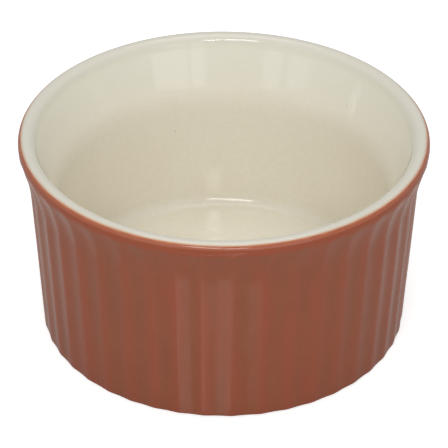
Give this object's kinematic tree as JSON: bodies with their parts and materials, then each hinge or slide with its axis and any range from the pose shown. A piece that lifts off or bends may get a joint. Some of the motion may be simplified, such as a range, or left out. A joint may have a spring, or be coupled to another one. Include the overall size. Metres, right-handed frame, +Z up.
{
  "type": "ramekin",
  "caption": "Round straight-sided ramekin with a fluted outside, a plain flared lip and a flat-floored round hollow, for baking and serving one portion.",
  "frame": {"origin": "on the axis of the dish, in the plane that the foot ring stands on", "axes": "+Z up along the axis of the dish, towards the rim; +X and +Y are level, each through a hollow of the flutes"},
  "size_m": [0.095, 0.095, 0.05],
  "materials": {
    "fired_clay": "matt unglazed stoneware",
    "cream_glaze": "gloss cream glaze",
    "terracotta_glaze": "satin terracotta glaze"
  },
  "bodies": {
    "root": {"stoneware_body": "fired_clay", "interior_glaze": "cream_glaze", "exterior_glaze": "terracotta_glaze", "base_glaze": "terracotta_glaze"}
  },
  "joints": []
}
